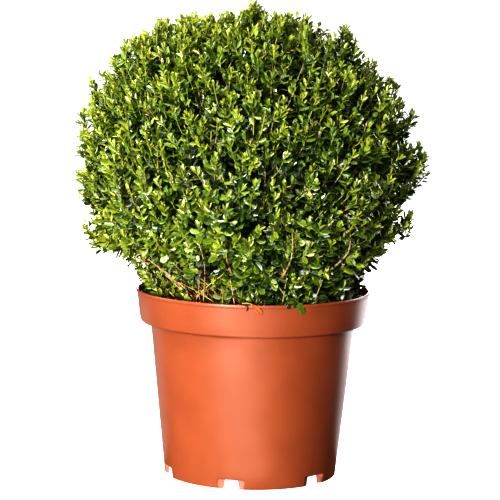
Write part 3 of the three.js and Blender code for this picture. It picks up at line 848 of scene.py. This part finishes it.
def pot_material():
    m = bpy.data.materials.new("pot_plastic")
    m.use_nodes = True
    nt = m.node_tree
    b = nt.nodes["Principled BSDF"]
    co = nt.nodes.new("ShaderNodeTexCoord")
    n1 = nt.nodes.new("ShaderNodeTexNoise")
    n1.inputs["Scale"].default_value = 22
    n1.inputs["Detail"].default_value = 5
    nt.links.new(co.outputs["Object"], n1.inputs["Vector"])
    r = nt.nodes.new("ShaderNodeValToRGB")
    e = r.color_ramp.elements
    e[0].position, e[0].color = 0.32, srgb(139, 77, 49)
    e[1].position, e[1].color = 0.7, srgb(147, 83, 54)
    nt.links.new(n1.outputs["Fac"], r.inputs["Fac"])
    # scuffs: thin, pale, mostly level streaks
    mp = nt.nodes.new("ShaderNodeMapping")
    mp.inputs["Scale"].default_value = (9, 9, 60)
    n2 = nt.nodes.new("ShaderNodeTexNoise")
    n2.inputs["Scale"].default_value = 7
    n2.inputs["Detail"].default_value = 8
    n2.inputs["Roughness"].default_value = 0.7
    nt.links.new(co.outputs["Object"], mp.inputs["Vector"])
    nt.links.new(mp.outputs["Vector"], n2.inputs["Vector"])
    r2 = nt.nodes.new("ShaderNodeValToRGB")
    e = r2.color_ramp.elements
    e[0].position, e[0].color = 0.62, (0, 0, 0, 1)
    e[1].position, e[1].color = 0.8, (0.22, 0.22, 0.22, 1)
    nt.links.new(n2.outputs["Fac"], r2.inputs["Fac"])
    mix = nt.nodes.new("ShaderNodeMix")
    mix.data_type = "RGBA"
    mix.inputs["B"].default_value = srgb(176, 110, 80)
    nt.links.new(r2.outputs["Color"], mix.inputs["Factor"])
    nt.links.new(r.outputs["Color"], mix.inputs["A"])
    # painted highlight: the foot is made paler where its notches turn in behind the wall, standing in for the light
    # those returns catch
    flat = nt.nodes.new("ShaderNodeMapping")
    flat.inputs["Scale"].default_value = (1, 1, 0)
    dist = nt.nodes.new("ShaderNodeVectorMath")
    dist.operation = "LENGTH"
    nt.links.new(co.outputs["Object"], flat.inputs["Vector"])
    nt.links.new(flat.outputs["Vector"], dist.inputs[0])
    xyz = nt.nodes.new("ShaderNodeSeparateXYZ")
    nt.links.new(co.outputs["Object"], xyz.inputs["Vector"])

    def step(op, a, second):
        n = nt.nodes.new("ShaderNodeMath")
        n.operation = op
        for socket, value in zip(n.inputs, (a, second)):
            if isinstance(value, float):
                socket.default_value = value
            else:
                nt.links.new(value, socket)
        return n.outputs[0]

    slope = (BODY_R - FOOT_R) / BAND_Z
    wall = step("ADD", step("MULTIPLY", xyz.outputs["Z"], slope), FOOT_R * MM)
    behind = step("MULTIPLY", step("SUBTRACT", step("SUBTRACT", wall, dist.outputs["Value"]), 0.5 * MM), 900.0)
    under = step("MULTIPLY", step("SUBTRACT", 19.0 * MM, xyz.outputs["Z"]), 900.0)
    both = step("MINIMUM", step("MINIMUM", behind, under), 0.85)
    pale = nt.nodes.new("ShaderNodeMix")
    pale.data_type = "RGBA"
    pale.inputs["B"].default_value = srgb(180, 122, 108)
    nt.links.new(step("MAXIMUM", both, 0.0), pale.inputs["Factor"])
    nt.links.new(mix.outputs["Result"], pale.inputs["A"])
    nt.links.new(pale.outputs["Result"], b.inputs["Base Color"])
    b.inputs["Roughness"].default_value = 0.36
    return m


POT = pot_material()


def make_pot():
    profile = [(0.01, FLOOR_Z), (FOOT_R - FOOT_W - 1.0, FLOOR_Z)]
    profile += arc(FOOT_R - FOOT_W - 1.0, FLOOR_Z - 1.0, 1.0, 90, 0, 4)[1:]
    profile += [(FOOT_R - FOOT_W, 1.0)]
    profile += arc(FOOT_R - FOOT_W + 1.0, 1.0, 1.0, 180, 270, 4)[1:]
    profile += arc(FOOT_R - 0.9, 0.9, 0.9, -90, 0, 4)
    for z in (5, 10, 16.5, 22, 45, 80, 120, 160, 190, 204):
        profile.append((wall_r(z), z))
    profile += [(wall_r(206.5) + 0.15, 206.5), (wall_r(208) + 0.7, 208.3), (wall_r(209) + 2.0, 209.6), (BAND_R - 4.6, 210.0)]
    profile += arc(BAND_R - 3.6, BAND_Z + 3.6, 3.6, -90, 3, 7)
    for z in (218, 226, 236, 246):
        profile.append((band_r(z), z))
    profile += [(band_r(249.4), 249.4), (band_r(249.8) - 0.45, 249.8), (band_r(250.3) - 0.45, 250.3), (band_r(250.7), 250.6)]
    profile += [(RIM_R - 0.15, 251.0), (RIM_R, 251.8), (RIM_R, 253.2)]
    profile += arc(RIM_R - 1.5, 253.5, 1.5, 5, 175, 8)
    profile += [(RIM_R - 3.2, 252.0), (band_r(246) - WALL, 246), (band_r(230) - WALL, 230), (band_r(214) - WALL, 214.4)]
    profile += [(band_r(212.4) - WALL - 1.2, 212.6), (wall_r(212.4) - WALL + 1, 212.4), (wall_r(209) - WALL, 210.5)]
    profile += [(wall_r(z) - WALL, z) for z in (160, 100, 50, 24)]
    profile += [(wall_r(20.4) - WALL - 2, FLOOR_Z + WALL), (0.01, FLOOR_Z + WALL)]
    v, q = lathe("pot", profile, 288)
    ob = mesh_object("pot_body", v, q, [POT])
    me = ob.data
    # the two ends on the axis
    import bmesh

    bm = bmesh.new()
    bm.from_mesh(me)
    bmesh.ops.remove_doubles(bm, verts=bm.verts, dist=2e-5)
    bmesh.ops.recalc_face_normals(bm, faces=bm.faces)
    bm.to_mesh(me)
    bm.free()
    # notches, wider at the ground and at the outside, with a softened edge
    cutters = []
    for i in range(6):
        az = math.radians(NOTCH_AZ + 60 * i)
        rows = []
        # radius, half width at the ground, half width at the top
        for r, lo, hi in (
            (FOOT_R - FOOT_W - 16, 10.5, 8.0), (FOOT_R - FOOT_W, 11.5, 9.0), (FOOT_R - 3.1, 14.4, 12.2),
            (FOOT_R - 1.2, 20.2, 18.0), (FOOT_R - 0.1, 21.5, 19.6), (FOOT_R + 0.9, 23.2, 21.6), (FOOT_R + 9, 33, 32),
        ):
            top = NOTCH_H + (0 if r < FOOT_R - 1 else min(1.6, (r - FOOT_R + 1.4) * 0.7))
            c = 2.2
            ring = [(-lo, -3), (lo, -3), (hi + 0.3, top - c), (hi - 0.5, top - 0.6), (hi - c, top), (-hi + c, top), (-hi + 0.5, top - 0.6), (-hi - 0.3, top - c)]
            rows.append([(r, y, z) for y, z in ring])
        pts = np.array(rows)
        k, m_ = pts.shape[:2]
        flat = pts.reshape(-1, 3)
        ca, sa = math.cos(az), math.sin(az)
        xy = np.stack([flat[:, 0] * ca - flat[:, 1] * sa, flat[:, 0] * sa + flat[:, 1] * ca, flat[:, 2]], -1)
        faces = []
        for j in range(k - 1):
            for s in range(m_):
                s2 = (s + 1) % m_
                faces.append((j * m_ + s, j * m_ + s2, (j + 1) * m_ + s2, (j + 1) * m_ + s))
        cm = bpy.data.meshes.new("cut")
        cm.from_pydata([tuple(p * MM) for p in xy], [], faces + [tuple(range(m_))[::-1], tuple(range((k - 1) * m_, k * m_))])
        bm = bmesh.new()
        bm.from_mesh(cm)
        bmesh.ops.recalc_face_normals(bm, faces=bm.faces)
        bm.to_mesh(cm)
        bm.free()
        cutters.append(bpy.data.objects.new("cut", cm))
        hole = bpy.data.meshes.new("drain")
        bm = bmesh.new()
        bmesh.ops.create_cone(bm, cap_ends=True, segments=24, radius1=6 * MM, radius2=6 * MM, depth=12 * MM,
                              matrix=Matrix.Translation((84 * MM * ca, 84 * MM * sa, (FLOOR_Z + 1.2) * MM)))
        bm.to_mesh(hole)
        bm.free()
        cutters.append(bpy.data.objects.new("drain", hole))
    for c in cutters:
        bpy.context.scene.collection.objects.link(c)
        md = ob.modifiers.new("cut", "BOOLEAN")
        md.operation = "DIFFERENCE"
        md.solver = "EXACT"
        md.object = c
    dg = bpy.context.evaluated_depsgraph_get()
    done = bpy.data.meshes.new_from_object(ob.evaluated_get(dg))
    ob.modifiers.clear()
    ob.data = done
    for c in cutters:
        bpy.data.objects.remove(c)
    done.polygons.foreach_set("use_smooth", np.ones(len(done.polygons), bool))
    done.set_sharp_from_angle(angle=math.radians(32))
    return keep(ob, "pot", "pot", *[f"foot_{i + 1}" for i in range(6)])


make_pot()


# =========================================================================
# Compost
# =========================================================================
def crumb_height(x, y):
    r = math.hypot(x, y)
    edge = max(0.0, 1 - max(0.0, r - 140) / 15)
    h = float(compost_top(r))
    v = Vector((x, y, 3.0))
    h += (2.6 * noise.noise(v * 0.035) + 2.2 * noise.noise(v * 0.11) + 1.6 * noise.noise(v * 0.29)) * (0.35 + 0.65 * edge)
    h += 0.8 * abs(noise.noise(v * 0.7)) * edge
    return h


def compost_material():
    m = bpy.data.materials.new("compost")
    m.use_nodes = True
    nt = m.node_tree
    b = nt.nodes["Principled BSDF"]
    co = nt.nodes.new("ShaderNodeTexCoord")
    n1 = nt.nodes.new("ShaderNodeTexNoise")
    n1.inputs["Scale"].default_value = 240
    n1.inputs["Detail"].default_value = 8
    nt.links.new(co.outputs["Object"], n1.inputs["Vector"])
    # painted light: these browns are lifted paler than the compost's own, for the light that its shaded place under the
    # crown and rim does not get
    r = nt.nodes.new("ShaderNodeValToRGB")
    e = r.color_ramp.elements
    e[0].position, e[0].color = 0.35, srgb(80, 58, 42)
    e[1].position, e[1].color = 0.72, srgb(172, 132, 98)
    nt.links.new(n1.outputs["Fac"], r.inputs["Fac"])
    nt.links.new(r.outputs["Color"], b.inputs["Base Color"])
    b.inputs["Roughness"].default_value = 0.95
    return m


def make_compost():
    low, shelf = FLOOR_Z + WALL + 0.5, BAND_Z + WALL + 0.5
    wall_in = [(wall_r(low) - WALL - 0.6, low), (wall_r(shelf) - WALL - 0.6, shelf), (band_r(shelf) - WALL - 1.0, shelf + 0.4)]
    radii = np.concatenate([np.linspace(band_r(243) - WALL - 0.5, 2.5, 64)])
    profile = [(0.01, low)] + wall_in + [(r, 0) for r in radii] + [(0.01, 0)]
    v, q = lathe("compost", profile, 216)
    k0 = 4 * 216
    for i in range(k0, len(v)):
        v[i, 2] = crumb_height(v[i, 0], v[i, 1])
    ob = mesh_object("compost_crumb", v, q[:, ::-1], [compost_material()])
    me = ob.data
    me.flip_normals()
    return keep(ob, "compost", "compost")


make_compost()


def compost_bits():
    """Chips of bark, grit and fibres lying on the compost."""
    mats = [
        plain("chip_dark", srgb(70, 49, 36), 0.9),
        plain("chip_brown", srgb(140, 103, 75), 0.9),
        plain("chip_tan", srgb(196, 160, 122), 0.85),
        plain("grit_pale", srgb(206, 196, 178), 0.8),
        plain("fibre", srgb(206, 170, 122), 0.8),
    ]
    n = 3000
    r = 151 * np.sqrt(rng.random(n))
    a = rng.uniform(0, 2 * np.pi, n)
    c = np.stack([r * np.cos(a), r * np.sin(a)], -1)
    size = np.stack([rng.gamma(3, 0.75, n) + 0.8, rng.gamma(3, 0.5, n) + 0.6, rng.gamma(3, 0.3, n) + 0.4], -1)
    tint = rng.choice(4, n, p=[0.42, 0.36, 0.15, 0.07])
    size[tint == 3] = size[tint == 3].mean(1, keepdims=True) * 0.6
    cube = np.array([[x, y, z] for x in (-1, 1) for y in (-1, 1) for z in (-1, 1)], float) * 0.5
    quad = np.array([[0, 1, 3, 2], [4, 6, 7, 5], [0, 4, 5, 1], [2, 3, 7, 6], [0, 2, 6, 4], [1, 5, 7, 3]])
    v = cube[None] * size[:, None, :] * rng.uniform(0.55, 1.1, (n, 8, 1)) + rng.normal(0, 0.18, (n, 8, 3))
    spin = rng.uniform(0, 2 * np.pi, n)
    tilt = rng.normal(0, 0.35, (n, 2))
    ca, sa = np.cos(spin)[:, None], np.sin(spin)[:, None]
    x, y, z = v[..., 0], v[..., 1], v[..., 2]
    x, y = x * ca - y * sa, x * sa + y * ca
    z = z + x * tilt[:, :1] + y * tilt[:, 1:]
    ground = np.array([crumb_height(*p) for p in c])
    v = np.stack([x + c[:, :1], y + c[:, 1:], z + (ground + size[:, 2] * 0.15)[:, None]], -1).reshape(-1, 3)
    q = (np.arange(n)[:, None, None] * 8 + quad[None]).reshape(-1, 4)
    m1 = np.repeat(tint, 6)
    # fibres
    f = 420
    r = 148 * np.sqrt(rng.random(f))
    a = rng.uniform(0, 2 * np.pi, f)
    p = np.stack([r * np.cos(a), r * np.sin(a), np.zeros(f)], -1)
    d = rng.uniform(0, 2 * np.pi, f)
    long_ = rng.gamma(3, 4.0, f) + 4 + 26 * (rng.random(f) < 0.12)
    end = p + np.stack([np.cos(d), np.sin(d), np.zeros(f)], -1) * long_[:, None]
    end[:, :2] *= np.minimum(1, 150 / np.maximum(np.hypot(end[:, 0], end[:, 1]), 1))[:, None]
    for w in (p, end):
        w[:, 2] = [crumb_height(*t[:2]) + 0.6 for t in w]
    b1 = p + (end - p) * 0.33 + rng.normal(0, 2.2, (f, 3)) + [0, 0, 1.2]
    b2 = p + (end - p) * 0.66 + rng.normal(0, 2.2, (f, 3)) + [0, 0, 1.2]
    at, way = bezier(p, b1, b2, end, np.linspace(0, 1, 6))
    fv, fq = tubes(at, way, np.full((f, 6), 0.3) * rng.uniform(0.7, 2.1, (f, 1)), 4)
    m2 = np.repeat(rng.choice([1, 2, 4], f, p=[0.3, 0.3, 0.4]), 5 * 4)
    ob = mesh_object("compost_bits", np.concatenate([v, fv]), np.concatenate([q, fq + len(v)]), mats, np.concatenate([m1, m2]), shade=False)
    keep(ob, "compost")


compost_bits()

# =========================================================================
# Litter caught on the rim
# =========================================================================
def on_rim(az, z, out=0.0):
    r = band_r(min(z, 250.0)) + out if z < 251 else RIM_R - 1.2 + out
    a = math.radians(az)
    return np.array([r * math.cos(a), r * math.sin(a), z])


def litter():
    """A dead curled leaf, a dark stalk, two leaves hanging over the front of the rim, and crumbs on the lip."""
    mats = [
        plain("litter_orange", srgb(158, 88, 38), 0.5), plain("litter_dark", srgb(54, 30, 20), 0.6),
        plain("litter_green", srgb(80, 104, 32), 0.4, coat=0.5), plain("litter_deep", srgb(42, 58, 24), 0.4, coat=0.5),
        plain("litter_tan", srgb(188, 142, 92), 0.8),
    ]
    rows = [
        # azimuth and height of the base and of the tip, half width, fold, curl, colour
        ((-90.2, 256.2), (-85.4, 242.5), 3.6, 0.7, 0.1, 0), ((-72.4, 257.0), (-73.6, 250.0), 3.4, 0.3, 0.1, 3),
        ((-68.6, 258.5), (-64.6, 241.0), 4.6, 0.35, 0.12, 2), ((-66.0, 257.5), (-69.5, 249.0), 3.4, 0.4, 0.1, 2),
        ((-71.0, 258.0), (-69.6, 251.5), 3.0, 0.3, 0.1, 3),
    ]
    base = np.array([on_rim(*a, 1.6) for a, *_ in rows])
    tip = np.array([on_rim(*b, 3.0) for _, b, *_ in rows])
    half, fold, curl, tint = (np.array([row[i] for row in rows], float) for i in (2, 3, 4, 5))
    far = np.linalg.norm(tip - base, axis=1)
    along = unit(tip - base)
    out = unit(base * [1, 1, 0])
    normal = unit(out - along * (out * along).sum(-1, keepdims=True))
    v, t, _ = leaves("full", base, along, normal, far, half, fold, np.full(len(rows), 0.5), curl, np.ones(len(rows)))
    vs, ts, ms = [v], [t], [np.repeat(tint.astype(int), 17)]
    # stalks: the curled dark one, the leaves' own, and bits of straw on the lip
    paths = [
        [on_rim(-93.6, 254.2, 1.6), on_rim(-92.4, 256.0, 3.4), on_rim(-91.8, 251.0, 2.4), on_rim(-93.0, 247.4, 1.2)],
        [on_rim(-95.0, 256.4, -2), on_rim(-93.4, 257.6, 0), on_rim(-91.6, 257.4, 1), on_rim(-90.2, 256.0, 1.6)],
        [on_rim(-70.5, 262.0, -9), on_rim(-70.0, 262.0, -3), on_rim(-69.4, 260.5, 1), on_rim(-68.6, 258.5, 1.6)],
        [on_rim(-73.0, 260.0, -8), on_rim(-72.8, 260.0, -3), on_rim(-72.6, 259.0, 0), on_rim(-72.4, 257.0, 1.6)],
    ]
    c = np.array(paths)
    at, way = bezier(c[:, 0], c[:, 1], c[:, 2], c[:, 3], np.linspace(0, 1, 8))
    tv, tq = tubes(at, way, np.full((4, 8), 0.7) * np.array([1.2, 1.0, 0.8, 0.7])[:, None], 5)
    tt = np.concatenate([tq[:, [0, 1, 2]], tq[:, [0, 2, 3]]])
    n0 = len(v)
    vs.append(tv)
    ts.append(tt + n0)
    owner = np.repeat([1, 4, 2, 3], 7 * 5)
    ms.append(np.concatenate([owner, owner]))
    n0 += len(tv)
    # crumbs on the lip
    n = 26
    az = np.where(rng.random(n) < 0.6, rng.normal(-90, 5, n), rng.uniform(-150, -40, n))
    at = np.array([on_rim(a, 254.6, rng.uniform(-1.2, 0.6)) for a in az])
    cube = np.array([[x, y, z] for x in (-1, 1) for y in (-1, 1) for z in (-1, 1)], float) * 0.5
    quad = np.array([[0, 1, 3, 2], [4, 6, 7, 5], [0, 4, 5, 1], [2, 3, 7, 6], [0, 2, 6, 4], [1, 5, 7, 3]])
    size = rng.uniform(0.8, 2.2, (n, 1, 3)) * [1.0, 1.0, 0.7]
    v = cube[None] * size * rng.uniform(0.7, 1.1, (n, 8, 1)) + at[:, None]
    q = (np.arange(n)[:, None, None] * 8 + quad[None]).reshape(-1, 4)
    vs.append(v.reshape(-1, 3))
    ts.append(np.concatenate([q[:, [0, 1, 2]], q[:, [0, 2, 3]]]) + n0)
    owner = np.repeat(rng.choice([0, 1, 4], n), 6)
    ms.append(np.concatenate([owner, owner]))
    keep(mesh_object("rim_litter", np.concatenate(vs), np.concatenate(ts), mats, np.concatenate(ms), shade=False), "compost")


litter()

# =========================================================================
# Backdrop, light, camera
# =========================================================================
def backdrop():
    """A round sheet of pale paper that rises on all sides, well behind any camera."""
    prof = [(r, 0.0) for r in (0.001, 0.3, 0.6, 1.0, 1.5, 2.0, 3.0, 4.0, 5.0, 5.8)]
    prof += [(5.8 + 0.9 * math.sin(t), 0.9 - 0.9 * math.cos(t)) for t in np.linspace(0, math.pi / 2, 14)[1:]]
    prof += [(6.7, 4.5)]
    k = 96
    v, f = [], []
    for r, z in prof:
        v += [(r * 1000 * math.cos(2 * math.pi * a / k), r * 1000 * math.sin(2 * math.pi * a / k), z * 1000 - 0.3) for a in range(k)]
    for i in range(len(prof) - 1):
        f += [(i * k + a, i * k + (a + 1) % k, (i + 1) * k + (a + 1) % k, (i + 1) * k + a)[::-1] for a in range(k)]
    m = bpy.data.materials.new("paper")
    m.use_nodes = True
    b = m.node_tree.nodes["Principled BSDF"]
    b.inputs["Base Color"].default_value = (0.9, 0.9, 0.9, 1)
    b.inputs["Roughness"].default_value = 0.9
    b.inputs["Emission Color"].default_value = (1, 1, 1, 1)
    b.inputs["Emission Strength"].default_value = 0.75
    ob = mesh_object("backdrop", v, f, [m])
    ob.visible_diffuse = False
    ob.visible_glossy = False
    ob.visible_shadow = False


backdrop()


def area(name, at, aim, size, power, colour=(1, 1, 1)):
    d = bpy.data.lights.new(name, "AREA")
    d.shape = "RECTANGLE"
    d.size, d.size_y = size
    d.energy = power
    d.color = colour
    ob = bpy.data.objects.new(name, d)
    ob.location = at
    ob.rotation_euler = (Vector(aim) - Vector(at)).to_track_quat("-Z", "Y").to_euler()
    bpy.context.scene.collection.objects.link(ob)
    return ob


area("key", (-1.65, -3.38, 0.5), (0, 0, 0.33), (0.4, 0.4), 206)
area("front", (0.0, -3.2, 0.95), (0, 0, 0.32), (0.5, 0.7), 31)
area("edge_right", (1.8, 1.2, 0.9), (0, 0, 0.35), (0.6, 1.4), 34)
area("edge_left", (-2.2, 0.2, 0.8), (0, 0, 0.35), (0.6, 1.2), 17)
area("top", (-1.0, -1.2, 2.5), (0, 0, 0.4), (0.5, 0.5), 26)
area("back", (0.4, 3.6, 1.0), (0, 0, 0.35), (1.2, 1.2), 60)


def card(name, left, right, z, strength):
    """A pale patch on the floor that only shows in the gloss of pot and leaves. left and right are its two sides, from near to far."""
    m = bpy.data.materials.new(name)
    m.use_nodes = True
    b = m.node_tree.nodes["Principled BSDF"]
    b.inputs["Base Color"].default_value = (0, 0, 0, 1)
    b.inputs["Specular IOR Level"].default_value = 0
    b.inputs["Emission Color"].default_value = (0.93, 0.96, 1, 1)
    b.inputs["Emission Strength"].default_value = strength
    v = [(x * 1000, y * 1000, z) for pair in zip(left, right) for x, y in pair]
    f = [(2 * i, 2 * i + 1, 2 * i + 3, 2 * i + 2) for i in range(len(left) - 1)]
    ob = mesh_object(name, v, f, [m])
    ob.visible_camera = ob.visible_diffuse = ob.visible_shadow = False


card("card_front_wide", [(-0.05, -0.15), (-0.13, -0.30), (-0.32, -0.42), (-0.7, -0.58), (-1.2, -1.1)],
     [(0.055, -0.15), (0.10, -0.32), (0.13, -0.54), (0.42, -0.85), (0.7, -1.4)], 1.0, 0.7)
card("card_front", [(-0.02, -0.15), (-0.075, -0.32), (-0.2, -0.5), (-0.42, -0.75), (-0.7, -1.3)],
     [(0.035, -0.15), (0.055, -0.34), (0.04, -0.56), (0.16, -0.92), (0.2, -1.45)], 2.0, 1.6)
card("card_right", [(0.12, 0.05), (0.5, 0.33), (0.72, 0.49)], [(0.07, 0.14), (0.2, 0.5), (0.29, 0.73)], 1.0, 1.1)
card("card_right_far", [(0.72, 0.49), (1.0, 0.7), (2.0, 1.4)], [(0.29, 0.73), (0.4, 1.0), (0.9, 2.2)], 1.0, 2.4)
card("card_left", [(-0.12, 0.02), (-0.5, 0.22), (-1.0, 0.5), (-1.7, 0.8)], [(-0.07, 0.14), (-0.2, 0.5), (-0.4, 1.0), (-0.8, 1.9)], 1.0, 0.55)

world = bpy.data.worlds.new("world")
bpy.context.scene.world = world
world.use_nodes = True
world.node_tree.nodes["Background"].inputs["Color"].default_value = (0.9, 0.95, 1.0, 1)
world.node_tree.nodes["Background"].inputs["Strength"].default_value = 0.015

cam_data = bpy.data.cameras.new("camera")
cam_data.sensor_width = 36
cam_data.lens = 2212 * 36 / 500
cam_data.clip_end = 60
cam = bpy.data.objects.new("camera", cam_data)
pan, tilt, roll = math.radians(-0.10), math.radians(-7.04), math.radians(1.05)
fwd = Vector((math.sin(pan) * math.cos(tilt), math.cos(pan) * math.cos(tilt), math.sin(tilt)))
right = fwd.cross(Vector((0, 0, 1))).normalized()
up = right.cross(fwd)
rx = right * math.cos(roll) + up * math.sin(roll)
ry = -right * math.sin(roll) + up * math.cos(roll)
m = Matrix((rx, ry, -fwd)).transposed().to_4x4()
m.translation = Vector((0, -3.0, 0.678))
cam.matrix_world = m
bpy.context.scene.collection.objects.link(cam)
bpy.context.scene.camera = cam

bpy.context.scene.view_settings.view_transform = "Standard"
bpy.context.scene.view_settings.look = "Very High Contrast"
